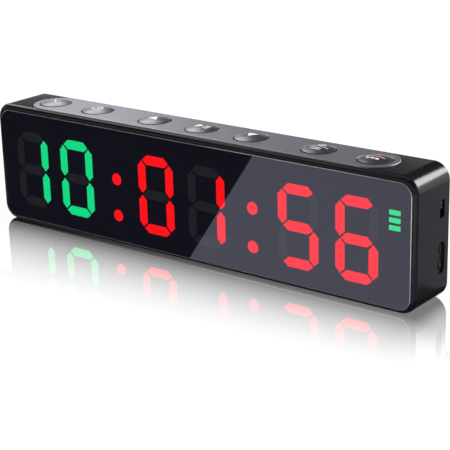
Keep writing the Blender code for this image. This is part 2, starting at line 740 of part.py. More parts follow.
def build_rear_cover():
    mesh = bmesh.new()
    chamfer = 0.0003
    loft(mesh, [
        [place(point, y, "Y") for point in cover_outline(GAP + inset)]
        for y, inset in ((COVER_INNER, 0), (BACK - chamfer, 0), (BACK, chamfer))
    ])
    cover = finish("rear_cover", mesh, COVER_BLACK)
    pocket = MAGNET_RADIUS + GAP
    pocket_floor = BACK - MAGNET_SINK - MAGNET_THICKNESS - GAP
    rings = bmesh.new()
    for side in (-1, 1):
        ring = circle((side * MAGNET_X, MAGNET_Z), pocket + POCKET_WALL, ROUND_STEPS)
        add_prism(rings, ring, pocket_floor - POCKET_WALL, COVER_INNER + CUT, "Y")
    modify(cover, rings, "UNION")
    cuts = bmesh.new()
    for side in (-1, 1):
        outline = circle((side * MAGNET_X, MAGNET_Z), pocket, ROUND_STEPS)
        add_prism(cuts, outline, pocket_floor, BACK + CUT, "Y")
    for point in buzzer_holes():
        add_prism(cuts, circle(point, SOUND_HOLE_RADIUS, SMALL_STEPS), COVER_INNER - CUT, BACK + CUT, "Y")
    seat = BACK - HEAD_SINK - SCREW_HEAD_HEIGHT - GAP
    profile = [(SCREW_HOLE_RADIUS, COVER_INNER - CUT), (SCREW_HOLE_RADIUS, seat),
               (SCREW_HEAD_RADIUS + GAP, seat), (SCREW_HEAD_RADIUS + GAP, BACK + CUT)]
    for point in cover_screw_places():
        add_turned(cuts, profile, point, "Y", SMALL_STEPS)
    modify(cover, cuts)


def build_magnets():
    for number, side in enumerate((-1, 1), 1):
        mesh = bmesh.new()
        top = BACK - MAGNET_SINK
        bottom = top - MAGNET_THICKNESS
        bevel = MAGNET_THICKNESS / 10
        profile = [(MAGNET_RADIUS - bevel, bottom), (MAGNET_RADIUS, bottom + bevel),
                   (MAGNET_RADIUS, top - bevel), (MAGNET_RADIUS - bevel, top)]
        add_turned(mesh, profile, (side * MAGNET_X, MAGNET_Z), "Y", ROUND_STEPS)
        finish(f"rear_magnet_{number}", mesh, NICKEL)


def build_buzzer():
    mesh = bmesh.new()
    back = COVER_INNER - GAP
    profile = [(BUZZER_RADIUS, back - BUZZER_HEIGHT), (BUZZER_RADIUS, back),
               (BUZZER_MOUTH, back), (BUZZER_MOUTH, back - BUZZER_MOUTH / 2)]
    add_turned(mesh, profile, (BUZZER_X, BUZZER_Z), "Y", ROUND_STEPS)
    finish("buzzer", mesh, SWITCH_BLACK)


# ---------------------------------------------------------------- screws


def build_screw(name, center, head_face, length, axis, sense):
    """A pan-head screw with a cross recess. Its head's outer face is at head_face and its shank
    points along sense times the axis."""
    levels = [
        (SCREW_HEAD_RADIUS - 0.0002, 0), (SCREW_HEAD_RADIUS, 0.0002), (SCREW_HEAD_RADIUS, SCREW_HEAD_HEIGHT),
        (SCREW_RADIUS, SCREW_HEAD_HEIGHT), (SCREW_RADIUS, length - SCREW_RADIUS), (SCREW_RADIUS / 2, length),
    ]
    profile = [(radius, head_face + sense * depth) for radius, depth in levels]
    mesh = bmesh.new()
    add_turned(mesh, profile, center, axis, SMALL_STEPS)
    screw = finish(name, mesh, STEEL)
    recess = sorted((head_face - sense * CUT, head_face + sense * RECESS_DEPTH))
    for first, second in (RECESS_BLADE, RECESS_BLADE[::-1]):
        low, high = (center[0] - first, center[1] - second), (center[0] + first, center[1] + second)
        blade = bmesh.new()
        add_prism(blade, box_outline(low, high), recess[0], recess[1], axis)
        modify(screw, blade)


def build_screws():
    for number, point in enumerate(cover_screw_places(), 1):
        build_screw(f"rear_cover_screw_{number}", point, BACK - HEAD_SINK, COVER_SCREW_LENGTH, "Y", -1)
    head = POWER_BOARD_BACK + GAP + SCREW_HEAD_HEIGHT
    build_screw("power_board_screw", POWER_SCREW, head, POWER_SCREW_LENGTH, "Y", -1)
    head = BUTTON_BOARD_BOTTOM - GAP - SCREW_HEAD_HEIGHT
    for number, point in enumerate(button_board_screw_places(), 1):
        build_screw(f"button_board_screw_{number}", point, head, BUTTON_SCREW_LENGTH, "Z", 1)


# ---------------------------------------------------------------- assembly

clear_scene()
build_case()
build_lens()
build_mask()
build_diffusers()
build_display_board()
build_strip()
build_buttons()
build_button_board()
build_ribbon()
build_power_board()
build_board_header()
build_usb_socket()
build_power_switch()
build_battery()
build_battery_leads()
build_rear_cover()
build_magnets()
build_buzzer()
build_screws()
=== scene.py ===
import math

import bpy
from mathutils import Matrix, Vector


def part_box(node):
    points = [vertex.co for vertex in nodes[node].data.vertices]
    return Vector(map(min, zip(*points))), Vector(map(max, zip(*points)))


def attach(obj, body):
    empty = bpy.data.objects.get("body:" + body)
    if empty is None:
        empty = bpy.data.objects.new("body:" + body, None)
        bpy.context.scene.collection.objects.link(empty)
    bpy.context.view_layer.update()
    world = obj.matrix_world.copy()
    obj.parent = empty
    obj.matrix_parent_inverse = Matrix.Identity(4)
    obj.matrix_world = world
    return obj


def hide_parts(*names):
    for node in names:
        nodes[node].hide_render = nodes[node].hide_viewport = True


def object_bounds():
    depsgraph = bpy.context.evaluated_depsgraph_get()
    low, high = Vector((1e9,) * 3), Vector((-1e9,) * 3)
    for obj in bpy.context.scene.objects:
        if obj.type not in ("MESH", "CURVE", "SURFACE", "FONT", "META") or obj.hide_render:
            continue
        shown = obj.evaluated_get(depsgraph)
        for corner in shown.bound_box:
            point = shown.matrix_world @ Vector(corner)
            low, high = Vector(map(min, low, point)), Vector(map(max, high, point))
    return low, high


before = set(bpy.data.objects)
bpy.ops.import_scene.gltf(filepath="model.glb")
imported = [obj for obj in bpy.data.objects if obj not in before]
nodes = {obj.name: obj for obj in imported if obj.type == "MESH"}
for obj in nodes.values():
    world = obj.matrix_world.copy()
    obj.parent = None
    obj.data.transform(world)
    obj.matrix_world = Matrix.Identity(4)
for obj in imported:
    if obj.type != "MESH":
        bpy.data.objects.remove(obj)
cad_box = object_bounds()
MM = 0.001


# --- Front housing -----------------------------------------------------------------------------
# One moulding in gloss black ABS: a deep tray with five closed sides, open at the back. The face
# has a shallow seat and a ledge behind it that the lens is glued to, the top has a stadium recess
# for the button strip, and the right end is pierced for the power switch and the charging socket.
CORNER_RADIUS = 5 * MM
RIM_RADIUS = 1.5 * MM
BACK_EDGE_RADIUS = 0.2 * MM
WALL = 2 * MM
LEDGE_THICKNESS = 0.8 * MM
LEDGE_WIDTH = 1.7 * MM
GAP = 0.3 * MM
CUT = 1 * MM
LENS_RADIUS = 4 * MM
HOLE_RADIUS = 5.3 * MM
HOLE_LIP = 0.12 * MM
TINY = 0.01 * MM


def put_down():
    """Leaves edit mode, with nothing selected."""
    if bpy.context.mode != "OBJECT":
        bpy.ops.object.mode_set(mode="OBJECT")
    bpy.ops.object.select_all(action="DESELECT")


def take(piece):
    """Selects one piece and nothing else."""
    put_down()
    piece.select_set(True)
    bpy.context.view_layer.objects.active = piece


def settle(piece):
    """Puts the piece's place, turn and scale into its mesh."""
    take(piece)
    bpy.ops.object.transform_apply(location=True, rotation=True, scale=True)


def block(name, low, high):
    """A box between two corners."""
    put_down()
    low, high = Vector(low), Vector(high)
    bpy.ops.mesh.primitive_cube_add(size=1, location=(low + high) / 2, scale=high - low)
    piece = bpy.context.object
    piece.name = name
    settle(piece)
    return piece


def pick_edges(piece, wanted):
    """Opens the piece with the edges selected whose middle and direction pass the test."""
    take(piece)
    bpy.ops.object.mode_set(mode="EDIT")
    bpy.ops.mesh.select_mode(type="EDGE")
    bpy.ops.mesh.select_all(action="DESELECT")
    bpy.ops.object.mode_set(mode="OBJECT")
    points = piece.data.vertices
    for edge in piece.data.edges:
        a, b = (points[i].co for i in edge.vertices)
        edge.select = bool(wanted((a + b) / 2, (b - a).normalized()))
    bpy.ops.object.mode_set(mode="EDIT")


def pick_faces(piece, wanted):
    """Opens the piece with the faces selected whose middle and normal pass the test."""
    take(piece)
    bpy.ops.object.mode_set(mode="EDIT")
    bpy.ops.mesh.select_mode(type="FACE")
    bpy.ops.mesh.select_all(action="DESELECT")
    bpy.ops.object.mode_set(mode="OBJECT")
    for face in piece.data.polygons:
        face.select = bool(wanted(face.center, face.normal))
    bpy.ops.object.mode_set(mode="EDIT")


def soften(piece, wanted, radius, segments):
    """Rounds the chosen edges."""
    pick_edges(piece, wanted)
    bpy.ops.mesh.bevel(offset=radius, segments=segments, profile=0.5, affect="EDGES")
    put_down()


def along(axis):
    """A test for the edges that run along an axis."""
    return lambda middle, way: abs(way[axis]) > 0.999


def lying_at(axis, place):
    """A test for the edges that lie in a plane across an axis."""
    return lambda middle, way: abs(middle[axis] - place) < TINY and abs(way[axis]) < 0.01


def combine(piece, other, operation):
    """Works another shape into the piece, and uses that shape up."""
    take(piece)
    step = piece.modifiers.new("combine", "BOOLEAN")
    step.operation = operation
    step.solver = "EXACT"
    step.object = other
    bpy.ops.object.modifier_apply(modifier=step.name)
    bpy.data.objects.remove(other)


def cut(piece, cutter):
    """Takes the cutter's shape out of the piece."""
    combine(piece, cutter, "DIFFERENCE")


def turned(name, centre, profile, steps, axis="Z"):
    """A closed turned shape: the profile lists (distance along the axis, radius) from end to end."""
    put_down()
    place, radius = profile[0]
    bpy.ops.mesh.primitive_circle_add(
        vertices=steps, radius=radius, fill_type="NGON", location=(0, 0, place)
    )
    piece = bpy.context.object
    piece.name = name
    settle(piece)
    bpy.ops.object.mode_set(mode="EDIT")
    bpy.ops.mesh.select_all(action="SELECT")
    for next_place, next_radius in profile[1:]:
        bpy.ops.mesh.extrude_region_move(TRANSFORM_OT_translate={"value": (0, 0, next_place - place)})
        grow = next_radius / radius
        bpy.ops.transform.resize(value=(grow, grow, 1), center_override=(0, 0, next_place))
        place, radius = next_place, next_radius
    bpy.ops.mesh.select_all(action="SELECT")
    bpy.ops.mesh.normals_make_consistent(inside=False)
    put_down()
    piece.rotation_euler = {"Y": (-math.pi / 2, 0, 0), "Z": (0, 0, 0)}[axis]
    piece.location = centre
    settle(piece)
    return piece


ROUNDNESS = 0.995


def stadium(name, low, high, axis, steps=16):
    """A box whose two short sides across the axis are half round, but for a hair between."""
    piece = block(name, low, high)
    across = [high[i] - low[i] for i in range(3) if i != axis]
    soften(piece, along(axis), min(across) / 2 * ROUNDNESS, steps)
    return piece


class Wire:
    """A number or a colour on its way to a socket. Sums written with it add their Math nodes."""

    def __init__(self, finish, socket):
        self.finish = finish
        self.socket = socket

    def maths(self, operation, *values):
        """One Math node on these values."""
        return self.finish.node("ShaderNodeMath", {"operation": operation}, dict(enumerate(values)))

    def __add__(self, other):
        return self.maths("ADD", self, other)

    def __sub__(self, other):
        return self.maths("SUBTRACT", self, other)

    def __rsub__(self, other):
        return self.maths("SUBTRACT", other, self)

    def __mul__(self, other):
        return self.maths("MULTIPLY", self, other)

    def __truediv__(self, other):
        return self.maths("DIVIDE", self, other)

    def __rtruediv__(self, other):
        return self.maths("DIVIDE", other, self)

    def __pow__(self, other):
        return self.maths("POWER", self, other)

    def __rpow__(self, other):
        return self.maths("POWER", other, self)

    def __gt__(self, other):
        return self.maths("GREATER_THAN", self, other)

    def __lt__(self, other):
        return self.maths("LESS_THAN", self, other)

    def __abs__(self):
        return self.maths("ABSOLUTE", self)

    __radd__ = __add__
    __rmul__ = __mul__


class Finish:
    """A material: fixed values stand on its shader's sockets, and nodes feed what varies."""

    def __init__(self, name, **fixed):
        self.material = bpy.data.materials.new(name)
        self.material.use_nodes = True
        self.tree = self.material.node_tree
        self.shader = self.tree.nodes["Principled BSDF"]
        for words, value in fixed.items():
            self.shader.inputs[words.replace("_", " ").title().replace("Ior", "IOR")].default_value = value

    def node(self, kind, settings=None, values=None, out=0):
        """Adds a node: its settings come first, then the values or links of its sockets."""
        made = self.tree.nodes.new(kind)
        for setting, value in (settings or {}).items():
            setattr(made, setting, value)
        for socket, value in (values or {}).items():
            self.feed(made.inputs[socket], value)
        return Wire(self, made.outputs[out])

    def feed(self, socket, value):
        if isinstance(value, Wire):
            self.tree.links.new(value.socket, socket)
        else:
            socket.default_value = value

    def give(self, socket, value):
        """Feeds one of the shader's sockets."""
        self.feed(self.shader.inputs[socket], value)

    def place(self):
        """The place on the piece, in metres."""
        return self.node("ShaderNodeTexCoord", out="Object")

    def parts(self, vector=None):
        """The x, y and z of a vector, or of the place on the piece."""
        split = self.node("ShaderNodeSeparateXYZ", None, {0: vector or self.place()})
        return [Wire(self, socket) for socket in split.socket.node.outputs]

    def noise(self, size, detail=3, stretch=(1, 1, 1)):
        """Noise from 0 to 1 whose blots are about this size, longer where stretch is above 1."""
        squeezed = self.node(
            "ShaderNodeMapping", None, {"Vector": self.place(), "Scale": [1 / s for s in stretch]}
        )
        return self.node(
            "ShaderNodeTexNoise", None, {"Vector": squeezed, "Scale": 1 / size, "Detail": detail}
        )

    def mix(self, amount, first, second):
        """A colour between two: the first where the amount is 0, the second where it is 1."""
        colours = {0: amount, 6: (*first, 1) if isinstance(first, tuple) else first}
        colours[7] = (*second, 1) if isinstance(second, tuple) else second
        return self.node("ShaderNodeMix", {"data_type": "RGBA"}, colours, out=2)

    def tones(self, size, first, second, detail=3):
        """Gives the piece two tones, in blots of about this size."""
        self.give("Base Color", self.mix(self.noise(size, detail), first, second))

    def grain(self, height, depth):
        """Raises the surface by a height from 0 to 1, depth deep."""
        self.give("Normal", self.node("ShaderNodeBump", None, {"Height": height, "Distance": depth}))


def dress(piece, finish, smooth=35):
    """Gives the piece its finish, and even shading over its flats and rounds."""
    take(piece)
    piece.data.materials.clear()
    piece.data.materials.append(finish.material)
    bpy.ops.object.shade_smooth_by_angle(angle=math.radians(smooth))
    even = piece.modifiers.new("even shading", "WEIGHTED_NORMAL")
    even.keep_sharp = True
    bpy.ops.object.modifier_apply(modifier=even.name)


def fit(piece, finish, body, slot, *stands_for):
    """Finishes a new piece, and hangs it on its body in place of the CAD nodes that it stands for."""
    dress(piece, finish)
    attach(piece, body)
    if stands_for:
        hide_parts(*stands_for)


def refinish(finish, *names):
    """Gives CAD nodes that keep their own shape a better material."""
    for name in names:
        for slot in nodes[name].material_slots:
            slot.material = finish.material


gloss_black = Finish("gloss_black", ior=1.45, specular_ior_level=0.16)
gloss_black.tones(9 * MM, (0.0035, 0.0035, 0.0045), (0.0065, 0.0065, 0.0078), 4)
gloss_black.give("Roughness", 0.17 + gloss_black.noise(2.5 * MM, 5) * 0.04)
gloss_black.grain(gloss_black.noise(1.5 * MM, 2), 0.0012 * MM)

low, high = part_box("front_housing")
lens_low, lens_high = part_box("lens_panel")
strip_low, strip_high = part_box("button_strip")
BUTTONS = ("clear", "interval", "up", "start", "down", "set", "mode")
button_x = {}
for name in BUTTONS:
    key_low, key_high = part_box(f"{name}_button")
    button_x[name] = (key_low.x + key_high.x) / 2

case = block("case_shell", low, high)
soften(case, along(1), CORNER_RADIUS, 18)
soften(case, lying_at(1, low.y), RIM_RADIUS, 8)
soften(case, lying_at(1, high.y), BACK_EDGE_RADIUS, 3)

seat_back = lens_high.y + GAP
seat = block(
    "seat",
    (lens_low.x - GAP, low.y - CUT, lens_low.z - GAP),
    (lens_high.x + GAP, seat_back, lens_high.z + GAP),
)
soften(seat, along(1), LENS_RADIUS + GAP, 16)
cut(case, seat)

window = block(
    "window",
    (lens_low.x + LEDGE_WIDTH, low.y - CUT, lens_low.z + LEDGE_WIDTH),
    (lens_high.x - LEDGE_WIDTH, seat_back + LEDGE_THICKNESS + CUT, lens_high.z - LEDGE_WIDTH),
)
soften(window, along(1), LENS_RADIUS - LEDGE_WIDTH, 10)
cut(case, window)

INNER_TOP_DEPTH = 3.4 * MM
inner_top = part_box("clear_button")[1].z - INNER_TOP_DEPTH
hollow = block(
    "hollow",
    (low.x + WALL, seat_back + LEDGE_THICKNESS, low.z + WALL),
    (high.x - WALL, high.y + CUT, inner_top),
)
soften(hollow, along(1), CORNER_RADIUS - WALL, 12)
cut(case, hollow)

recess_floor = strip_low.z - GAP
recess = stadium(
    "recess",
    (strip_low.x - GAP, strip_low.y - GAP, recess_floor),
    (strip_high.x + GAP, strip_high.y + GAP, high.z + CUT),
    axis=2,
    steps=24,
)
cut(case, recess)
for name in BUTTONS:
    bore = [(inner_top - CUT, HOLE_RADIUS), (recess_floor + CUT, HOLE_RADIUS)]
    cut(case, turned("hole", (button_x[name], 0, 0), bore, 48))

usb_low, usb_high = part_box("usb_socket_shell")
usb_slot = stadium(
    "usb_slot",
    (high.x - WALL - CUT, usb_low.y - GAP, usb_low.z - GAP),
    (high.x + CUT, usb_high.y + GAP, usb_high.z + GAP),
    axis=0,
)
cut(case, usb_slot)
knob_low, knob_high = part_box("power_switch_knob")
SLIDE = 2 * MM
SLOT_MARGIN = 0.5 * MM
SLOT_RADIUS = 0.4 * MM
switch_slot = block(
    "switch_slot",
    (high.x - WALL - CUT, knob_low.y - SLOT_MARGIN, knob_low.z - SLIDE - SLOT_MARGIN),
    (high.x + CUT, knob_high.y + SLOT_MARGIN, knob_high.z + SLOT_MARGIN),
)
soften(switch_slot, along(0), SLOT_RADIUS, 5)
cut(case, switch_slot)
fit(case, gloss_black, "case", "case_black", "front_housing")


# --- Display: mask, diffusers and LED board ----------------------------------------------------
# A matt black mask with a pocket for each segment, and milky plastic light guides pushed through
# it from behind. LED chips on a green board light each guide alone: the first pair of digits in
# green, the rest in red. Unlit guides and their back plates glow weakly. This is a painted glow that
# stands in for the room's light on them, so they show only as faint grey shapes.
COLUMNS = 11.0 * MM
ROWS = 11.1 * MM
SEGMENT_WIDTH = 2.85 * MM
TIP_GAP = 0.62 * MM
TIP_BLUNTNESS = 0.04
SHOULDER = SEGMENT_WIDTH / 2
COLON_RADIUS = 1.9 * MM
BAR_SIZE = (3.5 * MM, 1.35 * MM)
BAR_SPACING = 2.2 * MM
GUIDE_EDGE = 0.14 * MM
READING = "100156"
SEGMENTS = {  # column, row, upright
    "a": (0, 1, False),
    "b": (1, 0.5, True),
    "c": (1, -0.5, True),
    "d": (0, -1, False),
    "e": (-1, -0.5, True),
    "f": (-1, 0.5, True),
    "g": (0, 0, False),
}
LIT = {"0": "abcdef", "1": "bc", "5": "acdfg", "6": "acdefg"}


def copy_of(piece, name):
    """A copy with a mesh of its own."""
    made = piece.copy()
    made.data = piece.data.copy()
    made.name = name
    bpy.context.scene.collection.objects.link(made)
    return made


def joined(name, pieces):
    """Makes several shapes one piece."""
    take(pieces[0])
    for piece in pieces[1:]:
        piece.select_set(True)
    if len(pieces) > 1:
        bpy.ops.object.join()
    made = bpy.context.object
    made.name = name
    return made


def light_guide(length, width, front, back):
    """A level light guide with a point at each end, centred on the Y axis."""
    half = length / 2 - SHOULDER
    guide = block("guide", (-half, front, -width / 2), (half, back, width / 2))
    for side in (-1, 1):
        pick_faces(guide, lambda middle, normal: normal.x * side > 0.9)
        bpy.ops.mesh.extrude_region_move(TRANSFORM_OT_translate={"value": (side * SHOULDER, 0, 0)})
        tip = (side * length / 2, 0, 0)
        bpy.ops.transform.resize(value=(1, 1, TIP_BLUNTNESS), center_override=tip)
        put_down()
    soften(guide, along(1), GUIDE_EDGE, 2)
    soften(guide, lying_at(1, front), GUIDE_EDGE / 2, 2)
    return guide


def milky(name, colour, strength, body_colour):
    """Milky plastic lit from behind, a little uneven over its LED chips. At a weak strength the glow is
    painted light that stands in for the room's light on an unlit guide.
    """
    finish = Finish(name, roughness=0.45, ior=1.49, specular_ior_level=0.3)
    even = 0.94 + finish.noise(1.4 * MM, 2) * 0.12
    deeper = tuple(c * 0.85 for c in body_colour)
    finish.give("Base Color", finish.mix(finish.noise(0.6 * MM), body_colour, deeper))
    finish.give("Emission Color", finish.mix(even, (0, 0, 0), colour))
    finish.give("Emission Strength", strength)
    return finish


LENS_CLEARNESS = 0.13
red_lit = milky("red_lit", (1.0, 0.001, 0.001), 1.0 / LENS_CLEARNESS, (0.5, 0.01, 0.01))
green_lit = milky("green_lit", (0.002, 0.66, 0.215), 1.0 / LENS_CLEARNESS, (0.02, 0.4, 0.15))
# The faint glow of the unlit finish is painted light: it stands in for the room's light on unlit guides
# and plates.
unlit_painted_glow = milky("unlit_milky_painted_glow", (0.92, 0.92, 0.90), 0.0085 / LENS_CLEARNESS, (0.035, 0.035, 0.035))

mask_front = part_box("segment_mask")[0].y
matt_black = Finish("matt_black_mask", roughness=0.8, specular_ior_level=0.15)
matt_black.tones(0.5 * MM, (0.003, 0.003, 0.005), (0.006, 0.006, 0.009))
matt_black.grain(matt_black.noise(0.25 * MM, 2), 0.01 * MM)
refinish(matt_black, "segment_mask")

board_finish = Finish("board_green", roughness=0.4, ior=1.5, coat_weight=0.3)
laid_up = board_finish.node(
    "ShaderNodeMapping", None, {"Vector": board_finish.place(), "Rotation": (math.pi / 2, 0, 0)}
)
tracks = board_finish.node(
    "ShaderNodeTexBrick",
    {"offset": 0.37, "squash": 0.7},
    {
        "Vector": laid_up,
        "Scale": 160.0,
        "Mortar Size": 0.012,
        "Color1": (0, 0, 0, 1),
        "Color2": (0.12, 0.12, 0.12, 1),
        "Mortar": (1, 1, 1, 1),
    },
    out="Color",
)
board_finish.give("Base Color", board_finish.mix(tracks, (0.008, 0.09, 0.035), (0.03, 0.21, 0.09)))
board_finish.grain(tracks, 0.02 * MM)
refinish(board_finish, "display_board", "button_board", "power_board")


def place_shape(pattern, x, z, upright):
    """Puts a copy of a light guide in its place, level or upright."""
    piece = copy_of(pattern, "shape")
    piece.rotation_euler = (0, math.pi / 2 if upright else 0, 0)
    piece.location = (x, 0, z)
    settle(piece)
    return piece


PLATE_THICKNESS = 0.8 * MM
PLATE_RADIUS = 0.6 * MM
PLATE_EDGE = 0.15 * MM
PLATE_MARGIN = 0.5 * MM
plate_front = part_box("digit_diffuser_1")[1].y - PLATE_THICKNESS
level_guide = light_guide(COLUMNS - 2 * TIP_GAP, SEGMENT_WIDTH, mask_front, plate_front)
upright_guide = light_guide(ROWS - 2 * TIP_GAP, SEGMENT_WIDTH, mask_front, plate_front)


def back_plate(name, node):
    """The flat plate that holds one set of light guides together."""
    plate_low, plate_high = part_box(node)
    plate = block(name, (plate_low.x, plate_front, plate_low.z), plate_high)
    soften(plate, along(1), PLATE_RADIUS, 3)
    soften(plate, lying_at(1, plate_high.y), PLATE_EDGE, 2)
    # Back plates take the unlit finish, with its weak painted glow.
    fit(plate, unlit_painted_glow, "case", "milky_plastic", node)


for place, figure in enumerate(READING):
    node = f"digit_diffuser_{place + 1}"
    digit_low, digit_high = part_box(node)
    middle = (digit_low + digit_high) / 2
    back_plate(f"digit_{place + 1}_plate", node)
    shapes = {True: [], False: []}
    for letter, (column, row, upright) in SEGMENTS.items():
        pattern = upright_guide if upright else level_guide
        shape = place_shape(
            pattern, middle.x + column * COLUMNS / 2, middle.z + row * ROWS, upright
        )
        shapes[letter in LIT[figure]].append(shape)
    lit = joined(f"digit_{place + 1}_lit", shapes[True])
    fit(lit, green_lit if place < 2 else red_lit, "case", "milky_plastic", node)
    dark = joined(f"digit_{place + 1}_unlit", shapes[False])
    # Unlit segments carry a weak painted glow in place of the room's light on them.
    fit(dark, unlit_painted_glow, "case", "milky_plastic", node)
for pattern in (level_guide, upright_guide):
    bpy.data.objects.remove(pattern)

for number in (1, 2):
    node = f"colon_diffuser_{number}"
    back_plate(f"colon_{number}_plate", node)
    colon_low, colon_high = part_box(node)
    reach = PLATE_MARGIN + COLON_RADIUS
    dot = [
        (plate_front, COLON_RADIUS),
        (mask_front + GUIDE_EDGE / 2, COLON_RADIUS),
        (mask_front, COLON_RADIUS - GUIDE_EDGE / 2),
    ]
    dots = []
    for z in (colon_low.z + reach, colon_high.z - reach):
        dots.append(turned("dot", ((colon_low.x + colon_high.x) / 2, 0, z), dot, 40, "Y"))
    fit(joined(f"colon_{number}_lit", dots), red_lit, "case", "milky_plastic", node)

back_plate("battery_bar_plate", "battery_bar_diffuser")
bars_low, bars_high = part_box("battery_bar_diffuser")
bars = []
for row in (-1, 0, 1):
    x = (bars_low.x + bars_high.x) / 2
    z = (bars_low.z + bars_high.z) / 2 + row * BAR_SPACING
    bar = block(
        "bar",
        (x - BAR_SIZE[0] / 2, mask_front, z - BAR_SIZE[1] / 2),
        (x + BAR_SIZE[0] / 2, plate_front, z + BAR_SIZE[1] / 2),
    )
    soften(bar, along(1), GUIDE_EDGE, 2)
    soften(bar, lying_at(1, mask_front), GUIDE_EDGE / 2, 2)
    bars.append(bar)
fit(joined("battery_bars_lit", bars), green_lit, "case", "milky_plastic", "battery_bar_diffuser")


# --- Lens --------------------------------------------------------------------------------------
# A single sheet of smoked acrylic, one millimetre thick, laser cut with a polished edge and glued
# to the ledge in the face. It looks black until a segment behind it is lit.
LENS_EDGE = 0.34 * MM
EDGE_FACING = -0.97
smoked = Finish(
    "smoked_acrylic", ior=1.6, specular_ior_level=0.5, coat_ior=2.5, coat_roughness=0.08
)
sheet = smoked.mix(smoked.noise(14 * MM), (0.0052, 0.0052, 0.0100), (0.0064, 0.0062, 0.0116))
facing = smoked.parts(smoked.node("ShaderNodeTexCoord", out="Normal"))[1]
cut_edge = facing > EDGE_FACING
# The cut edge is a lighter grey than the sheet. This is partly the edge's own colour and partly a painted
# highlight for the thin bright line along the polished edge.
smoked.give("Base Color", smoked.mix(cut_edge, sheet, (0.10, 0.10, 0.11)))
smoked.give("Roughness", 0.012 + smoked.noise(4 * MM, 5) * 0.02)
smoked.give("Coat Weight", cut_edge)
depth = smoked.parts()[1]
front_side = depth < (lens_low.y + lens_high.y) / 2
smoked.give("Alpha", front_side * (1 - LENS_CLEARNESS))

lens = block("lens", lens_low, lens_high)
soften(lens, along(1), LENS_RADIUS, 18)
soften(lens, lying_at(1, lens_low.y), LENS_EDGE, 3)
fit(lens, smoked, "case", "smoked_acrylic", "lens_panel")


# --- Button strip and buttons ------------------------------------------------------------------
# The strip is a stadium plate in satin grey, let into the top and glued. Seven domed keys stand
# through it, dark gloss mouldings with their marks in a second shot of pale or red plastic, and
# a flange under the wall keeps each of them in.
STRIP_EDGE = 0.25 * MM
KEY_RADIUS = 5 * MM
KEY_RISE = 0.10 * MM
FOOT_RADIUS = 1.5 * MM
FOOT_HEIGHT = 0.3 * MM
FLANGE_HEIGHT = 0.5 * MM
FLANGE_EDGE = 0.1 * MM
DOME_RINGS = 14
MARK_START = 45 * MM
MARK_PROUD = 0.025 * MM
LINE = 0.36 * MM
THIN_LINE = 0.25 * MM
GEAR_Y = 1.75 * MM
GEAR_RADIUS = 0.95 * MM
TOOTH_RADIUS = 1.15 * MM
POWER_Y = 1.8 * MM
TEETH = [
    (TOOTH_RADIUS * math.cos(turn), TOOTH_RADIUS * math.sin(turn), math.degrees(turn))
    for turn in (i * math.pi / 3 for i in range(6))
]
satin_grey = Finish("satin_grey", metallic=0.8, ior=1.5)
streak = satin_grey.noise(0.35 * MM, 3, stretch=(30, 1, 1))
satin_grey.give("Base Color", satin_grey.mix(streak, (0.125, 0.125, 0.146), (0.155, 0.155, 0.178)))
satin_grey.give("Roughness", 0.40 + streak * 0.08)
satin_grey.grain(satin_grey.noise(0.2 * MM, 2), 0.006 * MM)

strip = stadium("top_strip", strip_low, strip_high, axis=2, steps=28)
soften(strip, lying_at(2, strip_high.z), STRIP_EDGE, 4)
for name in BUTTONS:
    hole = turned(
        "hole",
        (button_x[name], 0, 0),
        [
            (strip_low.z - CUT, HOLE_RADIUS),
            (strip_high.z - HOLE_LIP, HOLE_RADIUS),
            (strip_high.z + HOLE_LIP, HOLE_RADIUS + 2 * HOLE_LIP),
        ],
        64,
    )
    cut(strip, hole)
fit(strip, satin_grey, "case", "strip_grey", "button_strip")

gloss_key = Finish("gloss_key", ior=1.5, metallic=0.85, coat_weight=0.12, coat_roughness=0.2)
gloss_key.tones(3 * MM, (0.062, 0.062, 0.072), (0.078, 0.078, 0.09))
gloss_key.give("Roughness", 0.38 + gloss_key.noise(0.8 * MM, 4) * 0.08)
gloss_key.grain(gloss_key.noise(1.2 * MM, 2), 0.004 * MM)
pale_mark = Finish("pale_mark", roughness=0.4)
pale_mark.tones(0.5 * MM, (0.42, 0.42, 0.44), (0.50, 0.50, 0.52))
red_mark = Finish("red_mark", roughness=0.4)
red_mark.tones(0.5 * MM, (0.42, 0.035, 0.03), (0.50, 0.05, 0.04))


def key_cap(name):
    """A key from its foot to its dome."""
    node = f"{name}_button"
    foot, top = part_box(node)
    wall_top = strip_high.z + KEY_RISE
    dome_top = top.z - 2 * MARK_PROUD
    rise = dome_top - wall_top
    ball = (KEY_RADIUS**2 + rise**2) / (2 * rise)
    flange = top.x - button_x[name]
    flange_foot = foot.z + FOOT_HEIGHT
    profile = [
        (foot.z, FOOT_RADIUS - FLANGE_EDGE),
        (flange_foot, FOOT_RADIUS),
        (flange_foot + TINY, flange - FLANGE_EDGE),
        (flange_foot + FLANGE_EDGE, flange),
        (flange_foot + FLANGE_HEIGHT, flange),
        (flange_foot + FLANGE_HEIGHT + FLANGE_EDGE, KEY_RADIUS),
        (wall_top, KEY_RADIUS),
    ]
    for step in range(1, DOME_RINGS):
        radius = KEY_RADIUS * math.cos(step / DOME_RINGS * math.pi / 2)
        profile.append((dome_top - ball + math.sqrt(ball**2 - radius**2), radius))
    return turned(f"{name}_cap", (button_x[name], 0, 0), profile, 64)


def ring(x, y, radius, width):
    """A flat ring above the keys, ready to be laid down."""
    put_down()
    bpy.ops.mesh.primitive_circle_add(
        vertices=36, radius=radius, fill_type="NGON", location=(x, y, MARK_START)
    )
    piece = bpy.context.object
    bpy.ops.object.mode_set(mode="EDIT")
    bpy.ops.mesh.select_all(action="SELECT")
    bpy.ops.mesh.inset(thickness=width)
    bpy.ops.mesh.delete(type="FACE")
    put_down()
    return piece


